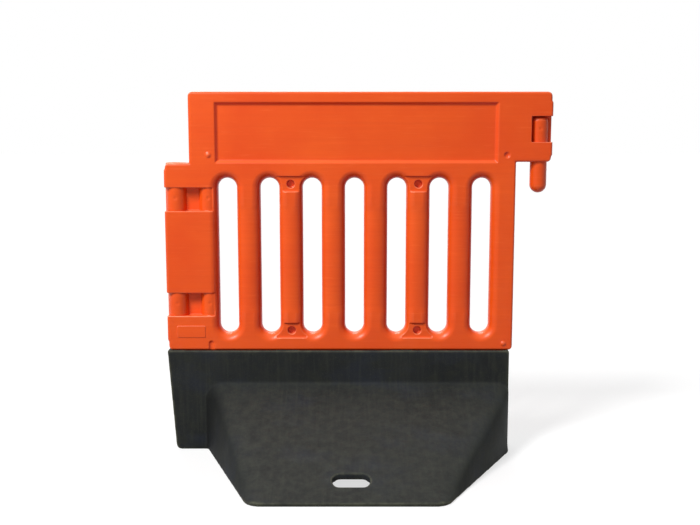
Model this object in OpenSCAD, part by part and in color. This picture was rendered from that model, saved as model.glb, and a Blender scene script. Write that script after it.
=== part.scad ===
// Pedestrian barrier: a hollow slatted panel that drops into a ramped base.
// Millimetres, Z up, ground at 0, front towards -Y, panel across X.

/* [Panel] */
// Distance between the hinge socket's axis and the hinge pin's axis
hinge_pitch = 1000; // [960:5:1100]
// From the socket's axis to the outer edge of the hinge post
post_margin = 30; // [30:1:45]
// From the pin's axis to the end of the arm
arm_margin = 33; // [30:1:40]
// Room between an arm's end and the next panel's board
link_gap = 7; // [2:1:12]
// Height of the panel above its feet
body_h = 715; // [690:5:760]
// Height of the hinge post
post_h = 522; // [515:1:530]
// Room between an arm and the post that it hangs over
arm_gap = 3; // [2:1:8]
// How far the arm stands out past the panel's body
arm_reach = 98; // [92:1:110]
// Thickness of the panel
panel_t = 60; // [58:1:66]
// Wall of the hollow moulding
skin = 4; // [3:0.5:4.5]
// Corner radius of the outline
corner_r = 14; // [10:1:16]
// Rounding from the faces to the rim
edge_r = 7; // [6:0.5:9]
// How far the post's and the arm's ends stand out past their corners
pad_out = 3; // [2:0.5:5]
// Corner radius of these ends
pad_r = 8; // [7.5:0.5:10]
// From an end's outer corner, at the panel's top or bottom, to where it stands out
pad_far = 24; // [16:1:30]
// From an end's inner corner, at the hinge, to where it stands out
pad_near = 14; // [10:1:20]

/* [Slots] */
// Number of slots
slot_count = 7; // [5:1:7]
// Distance between slots
slot_pitch = 117; // [112:0.5:118]
// Width of a slot at its narrowest
slot_w = 52; // [44:1:54]
// Height of the slots' lower ends
slot_bottom = 46; // [38:1:60]
// Height of the slots' upper ends
slot_top = 481; // [470:1:484]
// From the socket's axis to the first slot's axis
slot_start = 142; // [140:1:148]
// Radius of the rounded slot edges
flare_r = 26; // [20:1:26]

/* [Board] */
// From the board's left edge to its recess
recess_left = 71; // [60:1:90]
// From the body's right edge to the recess
recess_right = 50; // [40:1:60]
// From the panel's top to the recess
recess_top = 28; // [24:1:36]
// Height of the recess
recess_h = 165; // [140:1:170]
// Depth of the recess, which is also the run of its sloping walls
recess_depth = 8; // [4:0.5:9]

/* [Hinge] */
// Radius of the hinge pin
pin_r = 22; // [18:0.5:22.5]
// Length of pin below the arm
pin_drop = 84; // [70:1:100]
// Length of pin inside the arm
pin_seat = 120; // [110:1:126]
// Rounding at the pin's upper end
pin_shoulder = 9; // [6:1:12]
// How much wider the pin's head in the arm is than the pin, on the radius
pin_head = 1.5; // [0.5:0.5:2]
// Depth of the neck where the pin passes through the arm's floor
pin_neck = 0.6; // [0.4:0.1:1]
// Clearance of a pin in the next panel's socket, on the radius
socket_play = 1; // [0.5:0.1:1.5]
// Wall of the socket tube
tube_wall = 3.5; // [3:0.1:3.5]
// Height of the tube's lower end
tube_foot = 70; // [60:1:80]

/* [Windows] */
// Width of the post's windows, which are open at its outer edge
window_w = 134; // [130:1:136]
// Height of the post's windows
window_h = 65; // [60:1:68]
// Height of the lower window's sill
window_low = 97; // [94:1:100]
// From the post's top down to the upper window's sill
window_drop = 132; // [128:1:140]
// Thickness of moulding left behind a window in each half
web_t = 3.5; // [2:0.5:3.5]
// Radius of the rounded post edge inside a window
lobe_r = 27; // [24:1:27.5]
// From the pin's axis to the arm window's inner edge
arm_window_in = 25; // [24:1:28]
// Height of the arm window's sill above the arm's underside
arm_window_up = 54; // [50:1:58]
// Height of the arm window
arm_window_h = 70; // [66:1:74]

// Radius of the ball that sinks the small oval marks
mark_r = 14; // [12:1:18]
// Depth of the oval marks
mark_depth = 1.5; // [1:0.1:2]
// Height of the marks above a window's sill
mark_up = 36; // [30:1:40]

/* [Fixing points] */
// Radius of the blind fixing holes
fixing_r = 11; // [8:0.5:12]
// Depth of the blind fixing holes below their seats
fixing_depth = 14; // [8:1:15]
// Depth of the flat seats round the holes
seat_depth = 6; // [3:0.5:6]
// Width of a seat
seat_w = 84; // [70:1:88]
// Height of a seat
seat_h = 42; // [36:1:44]
// From the slots' lower ends to the lower holes
fixing_low = 10; // [8:1:16]
// From the upper holes to the slots' upper ends
fixing_high = 16; // [12:1:20]

/* [Stacking] */
// Radius of a stacking nib's round head
nib_r = 10; // [8:1:12]
// How far a nib stands proud
nib_proud = 4; // [2:0.5:5]
// Room for a nib in its dimple
nib_play = 0.6; // [0.4:0.1:1]
// From the panel's middle to the nibs
nib_reach = 408; // [400:1:412]
// Height of the upper nib and dimple
nib_high = 544; // [540:1:550]
// Height of the lower nib and dimple
nib_low = 19; // [17:1:22]

/* [Feet] */
// Length of a foot along the panel
foot_w = 260; // [240:1:264]
// Distance between feet
foot_pitch = 320; // [316:1:324]
// Place of the middle foot
foot_mid = -38; // [-42:1:-34]
// How far the feet reach below the panel's body
foot_l = 146; // [120:1:160]
// Thickness of a foot
foot_t = 44; // [42:0.5:46]
// Corner radius of a foot
foot_r = 13; // [8:1:14]
// Length of the thin wing on the left foot
wing_w = 22; // [14:1:26]
// Thickness of the wing
wing_t = 26; // [22:1:28]
// How much shorter the wing is than the foot
wing_rise = 3; // [2:1:8]
// Length of the notch at the wing's upper end
notch_w = 15; // [10:1:18]
// Height of the notch
notch_h = 14; // [10:1:18]
// Thickness of wing left behind the notch
notch_t = 5; // [3:0.5:6]
// Width of the pocket in a foot
pocket_w = 104; // [90:1:112]
// Height of the pocket in a foot
pocket_h = 66; // [60:1:72]
// Depth of the pocket and run of its walls
pocket_depth = 20; // [19:0.5:20]
// Corner radius of the pocket's floor
pocket_r = 3; // [2:0.5:5]
// From the panel's body down to the pocket's middle
pocket_drop = 72; // [66:1:76]
// Width of the snap ridge on a foot
ridge_w = 49; // [40:1:60]
// Radius of the snap ridge
ridge_r = 7.5; // [6:0.5:9]
// How far a snap ridge stands proud
ridge_proud = 3; // [2:0.1:3.2]
// From the panel's body down to the snap ridge
ridge_drop = 130; // [116:1:132]
// Width of the lock window through the left foot
lock_w = 35; // [25:1:40]
// Height of the lock window
lock_h = 17; // [12:1:18]
// From the panel's body down to the lock window
lock_drop = 9; // [8:1:12]
// From the left foot's end to the lock window
lock_in = 53; // [50:1:56]

/* [Base] */
// Height of the base
base_h = 285; // [270:1:320]
// Depth of the base from front to back
base_d = 500; // [460:5:560]
// Thickness of the kerb that holds the feet
kerb_t = 72; // [70:1:80]
// Kerb beyond the left foot's wing
kerb_left = 22; // [18:1:26]
// Kerb beyond the right foot
kerb_right = 13; // [12:1:20]
// Radius of the kerb's left rear corner
kerb_r = 48; // [30:1:50]
// How far the kerb's left end draws in towards the ground
kerb_draft = 20; // [10:1:24]
// Radius of the kerb's left end at the ground
kerb_foot_r = 14; // [8:1:18]
// Wall of the base
base_wall = 9; // [8:0.5:9]
// Room for a foot at each end of its socket
socket_end = 3; // [2:0.5:4]
// Room for a foot at each face of its socket
socket_side = 4; // [3.5:0.1:4.5]
// Room under a foot
socket_floor = 4; // [2:0.5:8]
// Gap between the panel's body and the kerb's top
sit_gap = 0.3; // [0.2:0.1:0.5]
// Width of a guide rib in a socket
guide_w = 6; // [4:0.5:8]
// Gap between a guide rib and the foot
guide_gap = 0.6; // [0.4:0.1:1]
// How far the guide ribs start below the kerb's top
guide_drop = 9; // [6:1:14]
// From a socket's middle to its inner pair of guide ribs
guide_step = 48; // [44:1:50]
// Height at which the ramp meets the kerb
ramp_h = 192; // [170:1:210]
// Thickness of the ramp's front lip
lip_h = 9; // [9:0.5:12]
// From the kerb's left end to the ramp
ramp_left = 108; // [90:1:120]
// From the kerb's right end to the ramp
ramp_right = 1; // [1:1:8]
// How far the ramp's right side runs straight before it slants
turn_in = 27; // [20:1:36]
// Radius where the ramp's right side starts to slant
turn_r = 32; // [20:1:40]
// Width of the ramp's front edge
front_w = 484; // [440:1:500]
// Middle of the ramp's front edge
front_mid = -28; // [-36:1:-20]
// Radius of the ramp's front corners
front_r = 44; // [30:1:54]
// Radius of the ramp's shoulders, where its slope meets its flanks
shoulder_r = 60; // [30:1:64]
// Length of the hand hole
hand_w = 94; // [85:1:110]
// Width of the hand hole
hand_d = 42; // [34:1:44]
// Middle of the hand hole
hand_mid = -18; // [-35:1:-10]
// Depth of the wall round the hand hole
hand_rim = 18; // [14:1:20]
// From the ramp's front edge to the hand hole's middle
hand_in = 74; // [70:1:90]
// Number of ribs under the ramp
rib_count = 4; // [2:2:4]
// Distance between ribs under the ramp
rib_pitch = 150; // [145:1:160]

/* [Hidden] */
$fn = 64;
// overrun of every cut
over = 1;
// clearance of the tube and the pin in their seats
seat_gap = 0.1;
// how far the crown of a slot's rounded edge would stand past the face
flare_proud = 0.5;
// share of the rounded edge's lip that the slot's cutter keeps
lip_share = 0.7;
// share of a shoulder's rounding that is missing at the kerb
shoulder_lift_share = 0.1;
// share of a shoulder's length at which its rounding has run out
shoulder_run_share = 0.88;
// overlap of the panel's slabs where they join
slab_lap = 24;
// height of foot inside the body
foot_root = 14;
orange = [0.92, 0.36, 0.15];
dark = [0.17, 0.17, 0.18];

half_t = panel_t / 2;
overall_w = hinge_pitch + post_margin + arm_margin;
post_x = -overall_w / 2;
arm_x = overall_w / 2;
socket_x = post_x + post_margin;
pin_x = arm_x - arm_margin;
body_x = arm_x - arm_reach;
board_x = socket_x + arm_margin + link_gap;
arm_h = post_h + arm_gap;
socket_r = pin_r + socket_play;
tube_r = socket_r + tube_wall;
head_r = pin_r + pin_head;
neck_r = pin_r - pin_neck;
slot_x = [for (i = [0:slot_count - 1]) socket_x + slot_start + i * slot_pitch];
foot_x = [for (i = [-1:1]) foot_mid + i * foot_pitch];
foot_left = foot_x[0] - foot_w / 2;
panel_y = base_d / 2 - kerb_t / 2;
panel_z = base_h + sit_gap;
kerb_x0 = foot_left - wing_w - kerb_left;
kerb_x1 = foot_x[2] + foot_w / 2 + kerb_right;
kerb_y = base_d / 2 - kerb_t;
front_y = -base_d / 2;
turn_y = kerb_y - turn_in;
socket_depth = foot_l + socket_floor;
window_high = post_h - window_drop;
// slats next to the second and the fifth slot carry the fixing holes
fixing_x = [slot_x[1] + slot_pitch / 2, slot_x[slot_count - 3] + slot_pitch / 2];

// Slot with half-round ends, from its lower left corner
module stadium(w, d) {
    translate([d / 2, 0]) square([w - d, d]);
    for (x = [d / 2, w - d / 2])
        translate([x, d / 2]) circle(d / 2);
}

// Rectangle with round corners, from its lower left corner
module round_rect(w, h, r) {
    translate([r, 0]) square([w - 2 * r, h]);
    translate([0, r]) square([w, h - 2 * r]);
    for (x = [r, w - r], y = [r, h - r])
        translate([x, y]) circle(r);
}

// Direction of a vector
function unit(v) = v / norm(v);

// Polygon whose convex corners are rounded by radii; 0 keeps a corner sharp
module round_polygon(points, radii) {
    n = len(points);
    back = [for (i = [0:n - 1]) unit(points[(i + n - 1) % n] - points[i])];
    ahead = [for (i = [0:n - 1]) unit(points[(i + 1) % n] - points[i])];
    half = [for (i = [0:n - 1]) acos(back[i] * ahead[i]) / 2];
    polygon([
        for (i = [0:n - 1], side = [back[i], ahead[i]])
            points[i] + side * radii[i] / tan(half[i])
    ]);
    for (i = [0:n - 1])
        if (radii[i] > 0)
            translate(points[i] + unit(back[i] + ahead[i]) * radii[i] / sin(half[i])) circle(radii[i]);
}

// Section of a half slab: its face at -t has round corners, and it runs past the middle
module half_section(w, t, r) {
    translate([r, -t]) square([w - 2 * r, t + over]);
    translate([0, r - t]) square([w, t - r + over]);
    for (x = [r, w - r])
        translate([x, r - t]) circle(r);
}

// Half of a slab from the middle plane forward, rounded at its rim and in outline
module half_slab(x0, x1, z0, z1, t, edge, corner) {
    w = x1 - x0;
    h = z1 - z0;
    intersection() {
        rotate([90, 0, 0])
            linear_extrude(t + over)
                translate([x0, z0]) round_rect(w, h, corner);
        translate([x0, 0, z0 - over])
            linear_extrude(h + 2 * over) half_section(w, t, edge);
        translate([x1 + over, 0, z0])
            rotate([0, -90, 0])
                linear_extrude(w + 2 * over) half_section(h, t, edge);
    }
}

// Half of a slot's section, from its axis outward: straight at the middle, then a rounded edge
module flare_section(inset) {
    r = flare_r - inset;
    mid = slot_w / 2 + flare_r;
    depth = half_t - flare_r + flare_proud;
    lip = lip_share * sqrt(flare_r * flare_r - (flare_r - flare_proud) * (flare_r - flare_proud));
    difference() {
        translate([0, -over]) square([mid - lip, half_t + 2 * over]);
        translate([mid, depth]) circle(r);
        translate([mid - r, -2 * over]) square([2 * r, depth + 2 * over]);
    }
}

// A slot with round ends
module slot_cut(inset) {
    low = slot_bottom + slot_w / 2;
    high = slot_top - slot_w / 2;
    translate([0, 0, low])
        linear_extrude(high - low)
            mirror([0, 1]) {
                flare_section(inset);
                mirror([1, 0]) flare_section(inset);
            }
    translate([0, 0, high])
        rotate([90, 0, 0]) rotate_extrude(angle = 180) flare_section(inset);
    translate([0, 0, low])
        rotate([90, 0, 0]) rotate([0, 0, 180]) rotate_extrude(angle = 180) flare_section(inset);
}

// A dish with sloping walls, cut into a face at the depth of face
module dish_cut(w, h, face, deep, inset) {
    wide = w + 2 * inset;
    tall = h + 2 * inset;
    floor_y = face - deep - inset;
    top = face + over;
    run = top - floor_y;
    intersection() {
        translate([0, 0, -tall])
            linear_extrude(2 * tall)
                polygon([
                    [-wide / 2 - over, -top], [wide / 2 + over, -top],
                    [wide / 2 + over - run, -floor_y], [run - wide / 2 - over, -floor_y]
                ]);
        translate([wide, 0, 0])
            rotate([0, -90, 0])
                linear_extrude(2 * wide)
                    polygon([
                        [-tall / 2 - over, -top], [tall / 2 + over, -top],
                        [tall / 2 + over - run, -floor_y], [run - tall / 2 - over, -floor_y]
                    ]);
    }
}

// A dish with sloping walls and round corners
module round_dish_cut(w, h, face, deep, corner, inset) {
    floor_y = face - deep - inset;
    run = deep + inset + over;
    core_w = w - 2 * (corner + deep);
    core_h = h - 2 * (corner + deep);
    section = [[0, -floor_y], [corner, -floor_y], [corner + run, -floor_y - run], [0, -floor_y - run]];
    for (side = [0, 1]) {
        mirror([side, 0, 0])
            translate([core_w / 2, 0, -core_h / 2]) linear_extrude(core_h) polygon(section);
        mirror([0, 0, side])
            translate([core_w / 2, 0, core_h / 2])
                rotate([0, -90, 0]) linear_extrude(core_w) polygon(section);
    }
    for (x = [-core_w / 2, core_w / 2], z = [-core_h / 2, core_h / 2])
        translate([x, -floor_y, z])
            rotate([90, 0, 0]) cylinder(h = run, r1 = corner, r2 = corner + run);
    translate([-core_w / 2, -floor_y - run, -core_h / 2]) cube([core_w, run, core_h]);
}

// Cutter that rounds an edge through a point, between two faces given by their outward normals
module edge_round(at, along, normal_a, normal_b, r) {
    tilt = acos(along[2]);
    turn = atan2(along[1], along[0]);
    across = [cos(turn) * cos(tilt), sin(turn) * cos(tilt), -sin(tilt)];
    aside = [-sin(turn), cos(turn), 0];
    a = [normal_a * across, normal_a * aside];
    b = [normal_b * across, normal_b * aside];
    out = (a + b) / (1 + a * b);
    translate(at)
        rotate([0, tilt, turn])
            translate([0, 0, -2 * base_d])
                linear_extrude(4 * base_d)
                    difference() {
                        polygon([-r * out, (r + over) * a - r * out, over * out, (r + over) * b - r * out]);
                        translate(-r * out) circle(r);
                    }
}

// A plain pocket cut from the face down to floor_y from the middle plane
module pocket_cut(x0, x1, z0, z1, floor_y, inset) {
    translate([x0 - inset, -half_t - over, z0 - inset])
        cube([
            x1 - x0 + 2 * inset,
            half_t + over - max(floor_y - inset, -over),
            z1 - z0 + 2 * inset
        ]);
}

// Oval mark sunk into an upright round face of radius r at height z
module thumb_mark(r, z, inset) {
    translate([0, mark_depth - mark_r - r, z]) sphere(mark_r + inset);
}

// Window in the hinge post, with the post's rounded inner edge left standing in it
module post_window(sill, inset) {
    x1 = post_x + window_w;
    difference() {
        pocket_cut(post_x - 2 * skin, x1, sill, sill + window_h, web_t, inset);
        translate([x1 - lobe_r / 2, 0, sill - 2 * skin])
            cylinder(h = window_h + 4 * skin, r = lobe_r - inset);
    }
    translate([x1 - lobe_r / 2, 0, 0]) thumb_mark(lobe_r, sill + mark_up, inset);
}

// Flat seat with a blind fixing hole
module fixing_cut(x, z, inset) {
    seat = half_t - seat_depth;
    pocket_cut(x - seat_w / 2, x + seat_w / 2, z - seat_h / 2, z + seat_h / 2, seat, inset);
    translate([x, inset + fixing_depth - seat, z])
        rotate([90, 0, 0]) cylinder(h = half_t, r = fixing_r + inset);
}

// Dimple that takes the nib of the next panel in a stack
module dimple(x, z, inset) {
    translate([x, nib_proud - nib_r - half_t, z]) sphere(nib_r + nib_play + inset);
}

// Outer form of half the panel, before its cuts; inset draws every face inward
module half_blank(inset) {
    t = half_t - inset;
    edge = edge_r - inset;
    corner = corner_r - inset;
    pad = pad_r - inset;
    half_slab(post_x + pad_out + inset, body_x - inset, inset, post_h - inset, t, edge, corner);
    half_slab(post_x + inset, socket_x, pad_far + inset, post_h - pad_near - inset, t, edge, pad);
    half_slab(board_x + inset, body_x - inset, post_h - slab_lap + inset, body_h - inset, t, edge, corner);
    half_slab(body_x - slab_lap - corner_r + inset, arm_x - pad_out - inset, arm_h + inset,
        body_h - inset, t, edge, corner);
    half_slab(pin_x, arm_x - inset, arm_h + pad_near + inset, body_h - pad_far - inset, t, edge, pad);
    for (x = foot_x)
        half_slab(x - foot_w / 2 + inset, x + foot_w / 2 - inset, inset - foot_l, foot_root - inset,
            foot_t / 2 - inset, edge, foot_r - inset);
    half_slab(foot_left - wing_w + inset, foot_left + slab_lap - inset, inset + wing_rise - foot_l,
        foot_root - inset, wing_t / 2 - inset, edge, foot_r - inset);
}

// Half the panel as a solid, with its slots, recess, windows and pockets
module half_solid(inset, hand) {
    recess_x0 = board_x + recess_left;
    recess_x1 = body_x - recess_right;
    difference() {
        half_blank(inset);
        for (x = slot_x)
            translate([x, 0, 0]) slot_cut(inset);
        translate([(recess_x0 + recess_x1) / 2, 0, body_h - recess_top - recess_h / 2])
            dish_cut(recess_x1 - recess_x0, recess_h, half_t, recess_depth, inset);
        for (sill = [window_low, window_high])
            post_window(sill, inset);
        pocket_cut(pin_x - arm_window_in, arm_x + 2 * skin, arm_h + arm_window_up,
            arm_h + arm_window_up + arm_window_h, web_t, inset);
        for (x = fixing_x, z = [slot_bottom + fixing_low, slot_top - fixing_high])
            fixing_cut(x, z, inset);
        translate([socket_x, 0, tube_foot - inset])
            cylinder(h = body_h, r = tube_r + seat_gap + inset);
        translate([pin_x, 0, arm_h - over])
            cylinder(h = 2 * skin, r = neck_r + seat_gap + inset);
        translate([pin_x, 0, arm_h + skin - inset])
            cylinder(h = pin_seat - skin + seat_gap + 2 * inset, r = head_r + seat_gap + inset);
        for (x = foot_x)
            translate([x, 0, -pocket_drop])
                round_dish_cut(pocket_w, pocket_h, foot_t / 2, pocket_depth, pocket_r, inset);
        translate([foot_left + lock_in - inset, -half_t, -lock_drop - lock_h - inset])
            cube([lock_w + 2 * inset, panel_t, lock_h + 2 * inset]);
        translate([foot_left - wing_w + edge_r - inset, -half_t, -notch_h - inset])
            cube([notch_w + 2 * inset, half_t - max(notch_t - inset, -over), notch_h + inset]);
        dimple(hand * nib_reach, nib_high, inset);
        dimple(-hand * nib_reach, nib_low, inset);
        translate([-hand * nib_reach, nib_proud - nib_r - half_t, -over])
            cylinder(h = nib_low + over, r = nib_r + nib_play + inset);
    }
}

// Round-headed stacking nib on the face
module nib(x, z) {
    translate([x, nib_r - nib_proud - half_t, z]) sphere(nib_r);
}

// One half of the panel, hollow; hand is 1 for the front and -1 for the rear
module shell(hand) {
    difference() {
        union() {
            half_solid(0, hand);
            nib(-hand * nib_reach, nib_high);
            nib(hand * nib_reach, nib_low);
            for (x = foot_x)
                translate([x - ridge_w / 2, ridge_r - ridge_proud - foot_t / 2, -ridge_drop])
                    rotate([0, 90, 0]) cylinder(h = ridge_w, r = ridge_r);
        }
        half_solid(skin, hand);
    }
}

// Puts a piece of the panel in its place above the base
module in_panel() {
    translate([0, panel_y, panel_z]) children();
}

module front_shell() {
    color(orange) in_panel() shell(1);
}

module rear_shell() {
    color(orange) in_panel() mirror([0, 1, 0]) shell(-1);
}

// Tube in the hinge post whose bore takes the next panel's pin
module hinge_tube() {
    color(orange) in_panel()
        translate([socket_x, 0, tube_foot])
            difference() {
                cylinder(h = post_h - tube_foot, r = tube_r);
                translate([0, 0, -over]) cylinder(h = post_h, r = socket_r);
                for (sill = [window_low, window_high], side = [0, 180])
                    rotate([0, 0, side]) thumb_mark(tube_r, sill + mark_up - tube_foot, 0);
            }
}

// Peg with a round tip, a neck in the arm's floor and a head trapped between the two halves
module hinge_pin() {
    color(orange) in_panel()
        translate([pin_x, 0, arm_h])
            difference() {
                rotate_extrude() {
                    intersection() {
                        translate([0, pin_r - pin_drop]) circle(pin_r);
                        translate([0, -pin_drop]) square([pin_r, pin_r]);
                    }
                    translate([0, pin_r - pin_drop]) square([pin_r, pin_drop - pin_r]);
                    square([neck_r, 2 * skin]);
                    translate([0, skin]) square([head_r, pin_seat - skin - pin_shoulder]);
                    translate([0, skin]) square([head_r - pin_shoulder, pin_seat - skin]);
                    translate([head_r - pin_shoulder, pin_seat - pin_shoulder]) circle(pin_shoulder);
                }
                for (side = [0, 180])
                    rotate([0, 0, side]) thumb_mark(head_r, arm_window_up + mark_up, 0);
            }
}

// Plan of the ramp up to rear_y; inset draws its sides and front inward
module ramp_plan(rear_y, inset) {
    x0 = kerb_x0 + ramp_left + inset;
    x1 = kerb_x1 - ramp_right - inset;
    f0 = front_mid - front_w / 2 + inset;
    f1 = front_mid + front_w / 2 - inset;
    r = front_r - inset;
    round_polygon(
        [[x0, rear_y], [f0, front_y + inset], [f1, front_y + inset], [x1, turn_y], [x1, rear_y]],
        [0, r, r, turn_r, 0]
    );
}

// Ramped foot in front of the kerb, from low up to its slope; inset draws it inward for the hollow below
module ramp(rear_y, low, inset) {
    intersection() {
        translate([0, 0, low - over])
            linear_extrude(base_h) ramp_plan(rear_y, inset);
        translate([kerb_x1, 0, 0])
            rotate([0, -90, 0])
                linear_extrude(kerb_x1 - kerb_x0)
                    polygon([
                        [low, base_d], [low, front_y - over], [lip_h - inset, front_y - over],
                        [lip_h - inset, front_y], [ramp_h - inset, kerb_y], [ramp_h - inset, base_d]
                    ]);
    }
}

// Cutters that round the ramp's shoulders, run out towards the front and sunk by depth
module shoulder_cuts(depth) {
    rear_y = kerb_y + over;
    slope = unit([0, lip_h - ramp_h, kerb_y - front_y]);
    for (side = [-1, 1]) {
        front_x = front_mid + side * front_w / 2;
        turn_x = kerb_x1 - ramp_right;
        turn_rise = (turn_x - front_x) * (rear_y - turn_y) / (turn_y - front_y);
        rear_x = side < 0 ? kerb_x0 + ramp_left : turn_x + turn_rise;
        front = [front_x, front_y, lip_h];
        rear = [rear_x, rear_y, lip_h + (ramp_h - lip_h) * (rear_y - front_y) / (kerb_y - front_y)];
        flank = unit([side * (rear_y - front_y), side * (front_x - rear_x), 0]);
        outward = unit(slope + flank);
        crest = outward * shoulder_r * (sqrt(2 / (1 + slope * flank)) - 1);
        from = rear + shoulder_lift_share * crest;
        to = rear + shoulder_run_share * (front - rear) + crest;
        edge_round(from - depth * outward, unit(to - from), slope, flank, shoulder_r);
    }
}

// The ramp's outer form
module ramp_body() {
    difference() {
        ramp(kerb_y + over, 0, 0);
        shoulder_cuts(0);
    }
}

// Kerb with a round left rear corner and a left end that draws in
module kerb() {
    left = kerb_x0 - over;
    w = kerb_x1 - left;
    intersection() {
        translate([left, kerb_y, -over])
            linear_extrude(base_h + 2 * over) {
                square([w, kerb_t - kerb_r]);
                translate([kerb_r, 0]) square([w - kerb_r, kerb_t]);
                translate([kerb_r, kerb_t - kerb_r]) intersection() {
                    circle(kerb_r);
                    translate([-kerb_r, 0]) square(kerb_r);
                }
            }
        translate([0, base_d, 0])
            rotate([90, 0, 0])
                linear_extrude(2 * base_d)
                    round_polygon(
                        [
                            [kerb_x0 + kerb_draft, 0], [kerb_x1 + over, 0],
                            [kerb_x1 + over, base_h], [kerb_x0, base_h]
                        ],
                        [kerb_foot_r, 0, 0, 0]
                    );
    }
}

// Socket for a foot, with guide ribs left standing on its rear wall
module socket_cut(x) {
    w = foot_w + 2 * socket_end;
    d = foot_t + 2 * socket_side;
    rib_d = socket_side - guide_gap;
    difference() {
        translate([x - w / 2, panel_y - d / 2, base_h - socket_depth])
            cube([w, d, socket_depth + over]);
        for (k = [-2, -1, 1, 2])
            translate([x + k * guide_step - guide_w / 2, panel_y + d / 2 - rib_d, 0])
                cube([guide_w, 2 * rib_d, base_h - guide_drop]);
    }
}

// Hand hole's plan, drawn outward by rim
module hand_plan(rim) {
    translate([hand_mid - hand_w / 2 - rim, front_y + hand_in - hand_d / 2 - rim])
        stadium(hand_w + 2 * rim, hand_d + 2 * rim);
}

// Collar round the hand hole, under the slope
module hand_collar() {
    intersection() {
        linear_extrude(base_h) hand_plan(base_wall);
        translate([kerb_x1, 0, 0])
            rotate([0, -90, 0])
                linear_extrude(kerb_x1 - kerb_x0)
                    polygon([
                        [lip_h - hand_rim, front_y], [ramp_h - hand_rim, kerb_y],
                        [ramp_h, kerb_y], [lip_h, front_y]
                    ]);
    }
}

// Space under each socket and under the ramp, with the ribs, the collar and the shoulders left standing
module base_hollow() {
    for (x = foot_x)
        translate([x - foot_w / 2, kerb_y + base_wall, -over])
            cube([foot_w, kerb_t - 2 * base_wall, base_h - socket_depth - base_wall + over]);
    rib_x0 = front_mid - (rib_count - 1) * rib_pitch / 2 - base_wall / 2;
    difference() {
        ramp(kerb_y, -over, base_wall);
        for (i = [0:rib_count - 1])
            translate([rib_x0 + i * rib_pitch, front_y, -2 * over])
                cube([base_wall, base_d, base_h]);
        hand_collar();
        shoulder_cuts(base_wall);
    }
}

module base_moulding() {
    wing_d = wing_t + 2 * socket_side;
    color(dark) difference() {
        union() {
            kerb();
            ramp_body();
        }
        for (x = foot_x)
            socket_cut(x);
        translate([foot_left - wing_w - socket_end, panel_y - wing_d / 2, base_h - socket_depth])
            cube([2 * wing_w, wing_d, socket_depth + over]);
        base_hollow();
        translate([0, 0, -over])
            linear_extrude(base_h) hand_plan(0);
    }
}

front_shell();
rear_shell();
hinge_tube();
hinge_pin();
base_moulding();
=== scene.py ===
"""Looks of a pedestrian barrier: an orange moulded panel that stands in a dark ramped base.

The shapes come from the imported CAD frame. This script softens their edges as moulding does,
gives every piece its finish, and sets up the studio and the camera. Metres, Z up.
"""

import math

import bmesh
import bpy
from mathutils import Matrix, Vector


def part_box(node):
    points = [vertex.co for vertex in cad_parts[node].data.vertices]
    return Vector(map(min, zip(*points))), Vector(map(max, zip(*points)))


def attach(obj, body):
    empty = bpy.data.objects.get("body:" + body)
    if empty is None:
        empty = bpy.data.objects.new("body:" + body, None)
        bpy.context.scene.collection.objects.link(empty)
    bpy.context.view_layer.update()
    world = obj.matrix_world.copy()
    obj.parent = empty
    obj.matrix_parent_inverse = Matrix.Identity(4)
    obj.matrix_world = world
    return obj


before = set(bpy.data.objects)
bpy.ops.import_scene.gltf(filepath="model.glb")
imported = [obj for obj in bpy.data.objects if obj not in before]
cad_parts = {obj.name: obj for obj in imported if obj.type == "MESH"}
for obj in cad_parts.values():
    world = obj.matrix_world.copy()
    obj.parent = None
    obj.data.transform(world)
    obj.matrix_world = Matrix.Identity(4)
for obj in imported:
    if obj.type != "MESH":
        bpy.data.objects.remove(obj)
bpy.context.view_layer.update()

# Camera: level with the panel's upper half, so that the base is seen from above
IMAGE_W = 700
FOCAL_PX = 979
SENSOR = 36.0
CAMERA_PLACE = (-0.021, -2.50, 0.906)
CAMERA_PITCH = 7.9

# Lamps: directions point from the object to the lamp, angles are in degrees
KEY_DIRECTION = (-0.49, -0.52, 0.70)
KEY_STRENGTH = 2.35
KEY_ANGLE = 14
BACK_DIRECTION = (-0.08, 0.70, 0.71)
BACK_STRENGTH = 1.3
BACK_ANGLE = 30
SIDE_PLACE = (-1.0, -1.1, 1.8)
SIDE_AIM = (-0.3, 0.2, 0.8)
SIDE_POWER = 14.5
SIDE_SIZE = 0.6
SKY_STRENGTH = 0.20

# Floor: its lift makes it white where it is seen, and lights nothing
FLOOR_SIZE = 60.0
FLOOR_ALBEDO = 0.35
FLOOR_LIFT = 0.68

# Colours of the panel, 8-bit sRGB
ORANGE = (230, 77, 14)
ORANGE_LIGHT = (238, 89, 21)
ORANGE_FLOW = (220, 70, 16)
ORANGE_SCUFF = (245, 112, 52)
# Painted highlight on faces that look up
ORANGE_TOP_HIGHLIGHT = (255, 132, 84)
# Painted highlight along convex edges
ORANGE_EDGE_HIGHLIGHT = (255, 168, 134)
# Painted shade in deep red on faces that turn right or down
RED_SHADE = (204, 30, 30)
# Painted shade in deep red in concave creases
RED_HOLLOW_SHADE = (184, 28, 26)

# Colours of the base, 8-bit sRGB
RUBBER = (28, 30, 31)
RUBBER_LIGHT = (41, 43, 43)
RUBBER_OLIVE = (46, 48, 40)
RUBBER_BLUE = (40, 44, 55)
RUBBER_STREAK = (58, 60, 53)
RUBBER_CRUMB = (70, 70, 60)
RUBBER_RIM = (116, 117, 96)
# Painted shade in concave creases
RUBBER_HOLLOW_SHADE = (18, 18, 18)
# Colour of the dust on faces that look up, also used as painted light on the right flank
DUST_AND_FLANK_LIGHT = (74, 77, 72)
# Painted shade on the left flank
LEFT_FLANK_SHADE = (12, 13, 13)

# The way that faces of the panel turn to get painted shade, and the way that they turn to get a
# painted highlight
SHADED_WAY = (0.62, 0.0, -0.78)
HIGHLIGHT_WAY = (-0.2, 0.0, 0.98)
SHADE_REACH = 0.07
SHADE_SAMPLES = 6

PLASTIC_SPECULAR = 0.32
RUBBER_SPECULAR = 0.10

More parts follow.
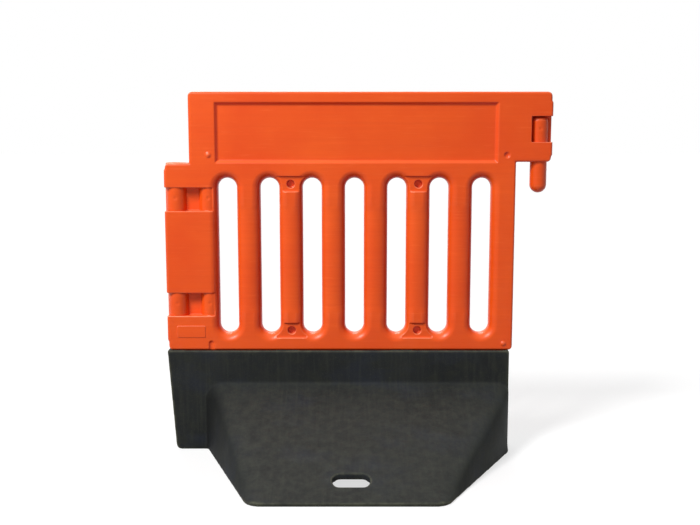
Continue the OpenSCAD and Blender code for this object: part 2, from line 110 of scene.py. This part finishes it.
# Rounding of each piece: voxel size, rounds of smoothing, share of the faces kept
SHELL_ROUNDING = (0.0015, 4, 0.15)
TUBE_ROUNDING = (0.0015, 5, 0.4)
PIN_ROUNDING = (0.0015, 5, 0.6)
BASE_ROUNDING = (0.003, 8, 0.35)
PLATE_ROUNDING = (0.0008, 3, 0.3)
SMOOTH_FACTOR = 0.5
TUBE_SWELL = 0.0015
PIN_SWELL = 0.001

# Ramp edges that roll over into the flanks; each pair is where the rolling starts and is full
ROLL_ROUNDS = 260
ROLL_MIDDLE = 0.02
ROLL_ASIDE = (0.10, 0.14)
ROLL_BEHIND = (0.170, 0.145)
ROLL_FRONT = (-0.245, -0.19)
ROLL_FOOT = (0.006, 0.035)

# Slats whose faces are rounded between their seats, in the same way
SLAT_ROUNDS = 240
SLAT_MIDDLE = 0.0085
SLAT_ASIDE = (0.390, 0.365)
SLAT_OUT = (0.010, 0.024)
SLAT_LOW = (0.392, 0.425)
SLAT_HIGH = (0.690, 0.657)

# Small plates of the panel: the bare plate on the post, and the web in the arm's window
FACE_Y = 0.184
PARTING_Y = 0.214
PLATE_W = 0.079
PLATE_H = 0.033
PLATE_PROUD = 0.0016
PLATE_IN = 0.0275
PLATE_UP = 0.037
WEB_T = 0.005
WEB_H = 0.068
WEB_LAP = 0.0025
WEB_OVER = 0.006
CORNER_RADIUS = 0.004
CORNER_STEPS = 6


def srgb(red, green, blue):
    """Linear colour of an 8-bit sRGB colour."""
    def linear(v):
        v /= 255
        return v / 12.92 if v <= 0.04045 else ((v + 0.055) / 1.055) ** 2.4
    return (linear(red), linear(green), linear(blue), 1.0)


def in_use(sockets, name):
    """The socket of that name in use; a node that takes several data types hides the others."""
    return next(socket for socket in sockets if socket.enabled and socket.name == name)


class Graph:
    """Short way to add nodes to a node tree and join them."""

    def __init__(self, tree):
        self.tree = tree
        tree.nodes.clear()

    def feed(self, socket, value):
        """Gives a socket a plain value, or joins another socket to it."""
        if isinstance(value, bpy.types.NodeSocket):
            self.tree.links.new(value, socket)
        else:
            socket.default_value = value

    def add(self, kind, inputs=None, **settings):
        """New node; inputs maps a socket's name or number to a value or to another socket."""
        made = self.tree.nodes.new(kind if "Node" in kind else "ShaderNode" + kind)
        for key, value in settings.items():
            setattr(made, key, value)
        for key, value in (inputs or {}).items():
            self.feed(made.inputs[key], value)
        return made

    def noise(self, coords, scale, detail, rough=0.55):
        made = self.add("TexNoise", {
            "Vector": coords, "Scale": scale, "Detail": detail, "Roughness": rough,
        })
        return made.outputs["Fac"]

    def stretch(self, coords, scale, offset=(0, 0, 0)):
        """Coordinates scaled along each axis, so that a texture runs in streaks."""
        inputs = {"Vector": coords, "Scale": scale, "Location": offset}
        return self.add("Mapping", inputs).outputs[0]

    def math(self, operation, *values):
        return self.add("Math", dict(enumerate(values)), operation=operation).outputs[0]

    def times(self, product, *factors):
        for factor in factors:
            product = self.math("MULTIPLY", product, factor)
        return product

    def dot(self, first, second):
        made = self.add("VectorMath", {0: first, 1: second}, operation="DOT_PRODUCT")
        return made.outputs["Value"]

    def span(self, value, low, high, to_low=0.0, to_high=1.0):
        """Value mapped from low..high to to_low..to_high and clamped."""
        return self.add("MapRange", {0: value, 1: low, 2: high, 3: to_low, 4: to_high}).outputs[0]

    def mix(self, share, first, second):
        inputs = {0: share, 6: first, 7: second}
        return self.add("Mix", inputs, data_type="RGBA", blend_type="MIX").outputs[2]

    def layers(self, colour, *coats):
        """Colour under coats, each given as its share and its sRGB colour, the lowest first."""
        for share, tint in coats:
            colour = self.mix(share, colour, srgb(*tint))
        return colour

    def bump(self, height, strength, distance, normal=None):
        inputs = {"Height": height, "Strength": strength, "Distance": distance}
        if normal:
            inputs["Normal"] = normal
        return self.add("Bump", inputs).outputs[0]


def material(name):
    """Empty material and its graph."""
    made = bpy.data.materials.new(name)
    made.use_nodes = True
    return made, Graph(made.node_tree)


def shade(graph, colour, roughness, normal, specular):
    """Principled surface whose constant values sit on its own sockets."""
    surface = graph.add("BsdfPrincipled", {
        "Base Color": colour, "Roughness": roughness, "Normal": normal,
        "Specular IOR Level": specular,
    })
    graph.add("OutputMaterial", {"Surface": surface.outputs[0]})


def panel_plastic(name, offset):
    """Moulded orange polyethylene with flow clouds, fine grain and faint scuffs.

    Faces that turn right or down get painted shade in a deeper red, most where they are enclosed,
    and so do concave creases. Faces that look up get a painted highlight, and convex edges get one
    in patches, most where they look up. The offset gives each piece its own part of the textures.
    """
    made, g = material(name)
    place = g.add("TexCoord").outputs
    coords = g.stretch(place["Object"], (1, 1, 1), offset)
    clouds = g.noise(coords, scale=5.0, detail=4.0)
    flow = g.noise(g.stretch(coords, (3, 3, 150)), scale=1.0, detail=4.0)
    scuffs = g.noise(g.stretch(coords, (14, 14, 190), (9, 5, 1)), scale=1.0, detail=5.0, rough=0.6)
    grain = g.noise(coords, scale=620.0, detail=2.0)
    patches = g.noise(coords, scale=34.0, detail=5.0, rough=0.65)
    edges = g.add("NewGeometry").outputs["Pointiness"]
    open_air = g.add("AmbientOcclusion", {"Distance": SHADE_REACH},
                     samples=SHADE_SAMPLES, only_local=True).outputs["AO"]
    shade_facing = g.dot(place["Normal"], SHADED_WAY)
    upward = g.dot(place["Normal"], HIGHLIGHT_WAY)

    # Painted shade: faces that turn right or down go deeper red, most where they are enclosed
    painted_shade = g.times(g.span(shade_facing, 0.05, 0.7, to_high=0.9),
                         g.span(open_air, 0.97, 0.84, to_low=0.2))
    # Painted highlight along convex edges, in patches, most where they look up
    edge_highlight = g.times(g.span(edges, 0.507, 0.55),
                    g.span(patches, 0.34, 0.6, to_low=0.5),
                    g.span(upward, -0.1, 0.5, to_low=0.12))
    colour = g.layers(
        srgb(*ORANGE),
        (g.span(clouds, 0.32, 0.68), ORANGE_LIGHT),
        (g.span(flow, 0.35, 0.75, to_high=0.3), ORANGE_FLOW),
        (g.span(scuffs, 0.58, 0.74, to_high=0.3), ORANGE_SCUFF),
        # Painted shade on faces that turn right or down
        (painted_shade, RED_SHADE),
        # Painted shade in concave creases
        (g.span(edges, 0.49, 0.44, to_high=0.55), RED_HOLLOW_SHADE),
        # Painted highlight on faces that look up
        (g.span(upward, 0.3, 0.8, to_high=0.28), ORANGE_TOP_HIGHLIGHT),
        # Painted highlight along convex edges
        (edge_highlight, ORANGE_EDGE_HIGHLIGHT),
    )
    dull = g.span(patches, 0.3, 0.7, to_low=0.28, to_high=0.42)
    skin = g.bump(grain, strength=0.14, distance=0.0006)
    skin = g.bump(flow, strength=0.05, distance=0.001, normal=skin)
    shade(g, colour, dull, skin, PLASTIC_SPECULAR)
    return made


def base_rubber(name):
    """Dark recycled rubber: mottled and streaked, with crumbs, dust and worn pale rims.

    Dust lies on faces that look up, less of it just below the kerb. Painted shade darkens the left
    flank towards the kerb, painted light in the dust's colour lightens the right flank, and
    painted shade darkens concave creases.
    """
    made, g = material(name)
    place = g.add("TexCoord").outputs
    coords, facing = place["Object"], place["Normal"]
    clouds = g.noise(coords, scale=6.0, detail=5.0, rough=0.6)
    blotch = g.noise(coords, scale=42.0, detail=5.0, rough=0.65)
    bloom = g.noise(g.stretch(coords, (5, 9, 9), (2, 7, 4)), scale=1.0, detail=4.0, rough=0.6)
    streaks = g.noise(g.stretch(coords, (110, 7, 7)), scale=1.0, detail=5.0, rough=0.65)
    crumbs = g.noise(coords, scale=420.0, detail=2.0)
    edges = g.add("NewGeometry").outputs["Pointiness"]
    _, depth, height = g.add("SeparateXYZ", {0: coords}).outputs
    upward = g.dot(facing, (0, 0, 1))
    across = g.dot(facing, (1, 0, 0))

    # Less dust on the ramp towards the kerb, so the ramp is darker there
    less_by_kerb = g.math("MAXIMUM", g.span(depth, 0.17, 0.05, to_low=0.45), g.span(height, 0.2, 0.25))
    dust = g.times(g.span(upward, 0.2, 0.95),
                   g.span(blotch, 0.3, 0.7, to_low=0.17, to_high=0.46),
                   less_by_kerb)
    # Painted shade on the left flank, deepest towards the kerb
    left_flank_shade = g.times(g.span(across, -0.08, -0.7, to_high=0.8),
                    g.span(depth, -0.12, 0.12, to_low=0.25))
    rim = g.times(g.span(edges, 0.51, 0.57),
                  g.span(blotch, 0.34, 0.6, to_low=0.3, to_high=0.9))
    colour = g.layers(
        srgb(*RUBBER),
        (g.span(clouds, 0.3, 0.7), RUBBER_LIGHT),
        (g.span(blotch, 0.45, 0.72, to_high=0.5), RUBBER_OLIVE),
        (g.span(bloom, 0.5, 0.7, to_high=0.6), RUBBER_BLUE),
        (g.span(streaks, 0.48, 0.78, to_high=0.4), RUBBER_STREAK),
        (g.span(crumbs, 0.62, 0.72, to_high=0.5), RUBBER_CRUMB),
        (dust, DUST_AND_FLANK_LIGHT),
        (left_flank_shade, LEFT_FLANK_SHADE),
        # Painted light on the right flank, in the dust's colour
        (g.span(across, 0.1, 0.6, to_high=0.24), DUST_AND_FLANK_LIGHT),
        (rim, RUBBER_RIM),
        # Painted shade in concave creases
        (g.span(edges, 0.49, 0.43, to_high=0.6), RUBBER_HOLLOW_SHADE),
    )
    dull = g.span(clouds, 0.3, 0.7, to_low=0.62, to_high=0.8)
    skin = g.bump(crumbs, strength=0.25, distance=0.0008)
    skin = g.bump(blotch, strength=0.12, distance=0.003, normal=skin)
    shade(g, colour, dull, skin, RUBBER_SPECULAR)
    return made


def soften(piece, rounding, swell=0.0):
    """Rounds a piece's sharp edges as moulding does; its own mesh stays as it is.

    A swell gives back what the rounding takes from a seat's edge, so that no light shows there.
    """
    voxel, rounds, kept = rounding
    remesh = piece.modifiers.new("fine_mesh", "REMESH")
    remesh.mode = "VOXEL"
    remesh.voxel_size = voxel
    remesh.use_smooth_shade = True
    smooth = piece.modifiers.new("round_edges", "SMOOTH")
    smooth.factor = SMOOTH_FACTOR
    smooth.iterations = rounds
    lighten = piece.modifiers.new("lighten", "DECIMATE")
    lighten.ratio = kept
    if swell:
        fill = piece.modifiers.new("fill_seat", "DISPLACE")
        fill.mid_level = 0
        fill.strength = swell


def finish_node(name, finish, rounding, swell=0.0):
    """Gives a CAD node its material and its soft edges."""
    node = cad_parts[name]
    node.data.materials.clear()
    node.data.materials.append(finish)
    soften(node, rounding, swell)
    return node


def rolling(name, rounds, share_of):
    """Group that blurs a mesh's points, as far as share_of(graph, x, y, z) says for each."""
    tree = bpy.data.node_groups.new(name, "GeometryNodeTree")
    for way in ("INPUT", "OUTPUT"):
        tree.interface.new_socket("Geometry", in_out=way, socket_type="NodeSocketGeometry")
    g = Graph(tree)
    place = g.add("GeometryNodeInputPosition").outputs[0]
    share = share_of(g, *g.add("SeparateXYZ", {0: place}).outputs)
    blur = g.add("GeometryNodeBlurAttribute", data_type="FLOAT_VECTOR")
    for key, value in (("Value", place), ("Iterations", rounds), ("Weight", share)):
        g.feed(in_use(blur.inputs, key), value)
    start = g.add("NodeGroupInput").outputs[0]
    moved = g.add("GeometryNodeSetPosition", {
        "Geometry": start, "Position": in_use(blur.outputs, "Value"),
    })
    g.add("NodeGroupOutput", {0: moved.outputs[0]})
    return tree


def shoulder_share(g, x, y, z):
    """The ramp's upper edges; foot, kerb and hand hole stay as they are."""
    aside = g.math("ABSOLUTE", g.math("ADD", x, ROLL_MIDDLE))
    return g.times(g.span(aside, *ROLL_ASIDE), g.span(y, *ROLL_BEHIND),
                   g.span(y, *ROLL_FRONT), g.span(z, *ROLL_FOOT))


def slat_share(g, x, y, z):
    """The slats' faces between their seats; the parting line stays as it is."""
    aside = g.math("ABSOLUTE", g.math("ADD", x, SLAT_MIDDLE))
    out = g.math("ABSOLUTE", g.math("SUBTRACT", y, PARTING_Y))
    return g.times(g.span(aside, *SLAT_ASIDE), g.span(out, *SLAT_OUT),
                   g.span(z, *SLAT_LOW), g.span(z, *SLAT_HIGH))


def round_outline(low, high):
    """Corner points (x, z) of an upright rectangle with round corners, from low to high."""
    points = []
    for turn, (right, up) in enumerate(((1, 1), (-1, 1), (-1, -1), (1, -1))):
        x = (high[0] if right > 0 else low[0]) - right * CORNER_RADIUS
        z = (high[2] if up > 0 else low[2]) - up * CORNER_RADIUS
        for step in range(CORNER_STEPS + 1):
            angle = math.pi / 2 * (turn + step / CORNER_STEPS)
            points.append((x + CORNER_RADIUS * math.cos(angle),
                           z + CORNER_RADIUS * math.sin(angle)))
    return points


def plate(name, low, high, finish):
    """Thin upright plate with round corners and soft edges that rides on the panel."""
    shape = bmesh.new()
    front = shape.faces.new([shape.verts.new((x, low[1], z)) for x, z in round_outline(low, high)])
    grown = bmesh.ops.extrude_face_region(shape, geom=[front])["geom"]
    back = [part for part in grown if isinstance(part, bmesh.types.BMVert)]
    bmesh.ops.translate(shape, vec=(0, high[1] - low[1], 0), verts=back)
    bmesh.ops.recalc_face_normals(shape, faces=shape.faces)
    mesh = bpy.data.meshes.new(name)
    shape.to_mesh(mesh)
    shape.free()
    mesh.materials.append(finish)
    made = bpy.data.objects.new(name, mesh)
    bpy.context.scene.collection.objects.link(made)
    soften(made, PLATE_ROUNDING)
    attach(made, "panel")


def seen_rays(graph):
    """1 for rays that show the background: of the camera, reflections and see-through bodies."""
    path = graph.add("LightPath")
    seen = graph.math("MAXIMUM", path.outputs["Is Camera Ray"], path.outputs["Is Glossy Ray"])
    return graph.math("MAXIMUM", seen, path.outputs["Is Transmission Ray"])


def make_floor():
    """Pale floor that keeps the object's shadow; its lift shows only in what is seen."""
    half = FLOOR_SIZE / 2
    corners = [(-half, -half, 0), (half, -half, 0), (half, half, 0), (-half, half, 0)]
    mesh = bpy.data.meshes.new("floor")
    mesh.from_pydata(corners, [], [(0, 1, 2, 3)])
    floor = bpy.data.objects.new("floor", mesh)
    bpy.context.scene.collection.objects.link(floor)
    made, g = material("floor_paper")
    paper = g.add("BsdfDiffuse", {"Color": (FLOOR_ALBEDO, FLOOR_ALBEDO, FLOOR_ALBEDO, 1)})
    glow = g.add("Emission", {"Strength": g.times(seen_rays(g), FLOOR_LIFT)})
    both = g.add("AddShader", {0: paper.outputs[0], 1: glow.outputs[0]})
    g.add("OutputMaterial", {"Surface": both.outputs[0]})
    mesh.materials.append(made)


def make_world():
    """Soft sky light; white wherever the background itself is seen."""
    world = bpy.data.worlds.new("studio")
    world.use_nodes = True
    g = Graph(world.node_tree)
    strength = g.span(seen_rays(g), 0, 1, to_low=SKY_STRENGTH)
    sky = g.add("Background", {"Color": (1, 1, 1, 1), "Strength": strength})
    g.add("OutputWorld", {"Surface": sky.outputs[0]})
    bpy.context.scene.world = world


def place_lamp(name, data, direction):
    """Lamp object whose light comes from the given direction."""
    lamp = bpy.data.objects.new(name, data)
    lamp.rotation_mode = "QUATERNION"
    lamp.rotation_quaternion = Vector(direction).to_track_quat("Z", "Y")
    bpy.context.scene.collection.objects.link(lamp)
    return lamp


def make_lamp(name, direction, strength, angle):
    """Broad distant lamp."""
    data = bpy.data.lights.new(name, "SUN")
    data.energy = strength
    data.angle = math.radians(angle)
    place_lamp(name, data, direction)


def make_side_lamp():
    """Round lamp near the hinge post, so that the light falls off along the panel."""
    data = bpy.data.lights.new("side", "AREA")
    data.shape = "DISK"
    data.size = SIDE_SIZE
    data.energy = SIDE_POWER
    lamp = place_lamp("side", data, Vector(SIDE_PLACE) - Vector(SIDE_AIM))
    lamp.location = SIDE_PLACE
    lamp.visible_camera = False


def make_camera():
    """Camera at the photograph's viewing angle, with no shift."""
    data = bpy.data.cameras.new("camera")
    data.sensor_width = SENSOR
    data.lens = SENSOR * FOCAL_PX / IMAGE_W
    camera = bpy.data.objects.new("camera", data)
    camera.location = CAMERA_PLACE
    camera.rotation_euler = (math.radians(90 - CAMERA_PITCH), 0, 0)
    bpy.context.scene.collection.objects.link(camera)
    bpy.context.scene.camera = camera


# Panel: the slats are rounded on the fine mesh, before it is lightened
front_plastic = panel_plastic("front_plastic", (0, 0, 0))
rear_plastic = panel_plastic("rear_plastic", (3, 1, 2))
slat_group = rolling("round_slats", SLAT_ROUNDS, slat_share)
for shell, plastic in (("front_shell", front_plastic), ("rear_shell", rear_plastic)):
    steps = finish_node(shell, plastic, SHELL_ROUNDING).modifiers
    steps.new("round_slats", "NODES").node_group = slat_group
    steps.move(len(steps) - 1, steps.find("lighten"))
finish_node("hinge_tube", panel_plastic("tube_plastic", (1, 4, 1)), TUBE_ROUNDING, TUBE_SWELL)
finish_node("hinge_pin", panel_plastic("pin_plastic", (5, 2, 3)), PIN_ROUNDING, PIN_SWELL)

# Base
base = finish_node("base_moulding", base_rubber("base_rubber"), BASE_ROUNDING)
shoulders = base.modifiers.new("roll_shoulders", "NODES")
shoulders.node_group = rolling("roll_shoulders", ROLL_ROUNDS, shoulder_share)

# Bare raised plate on the post, above the first foot
post_x, kerb_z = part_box("front_shell")[0][0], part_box("base_moulding")[1][2]
plate_x, plate_z = post_x + PLATE_IN, kerb_z + PLATE_UP
plate("post_plate", (plate_x, FACE_Y - PLATE_PROUD, plate_z),
      (plate_x + PLATE_W, FACE_Y + PLATE_PROUD, plate_z + PLATE_H), front_plastic)

# Web behind the pin's head, which closes the arm's window
pin_low, pin_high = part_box("hinge_pin")
plate("arm_web", (pin_low[0] - WEB_LAP, PARTING_Y - WEB_T / 2, pin_high[2] - WEB_H),
      (pin_high[0] + WEB_LAP, PARTING_Y + WEB_T / 2, pin_high[2] + WEB_OVER), front_plastic)

make_floor()
make_world()
make_lamp("key", KEY_DIRECTION, KEY_STRENGTH, KEY_ANGLE)
make_lamp("back", BACK_DIRECTION, BACK_STRENGTH, BACK_ANGLE)
make_side_lamp()
make_camera()

bpy.context.scene.view_settings.view_transform = "Standard"
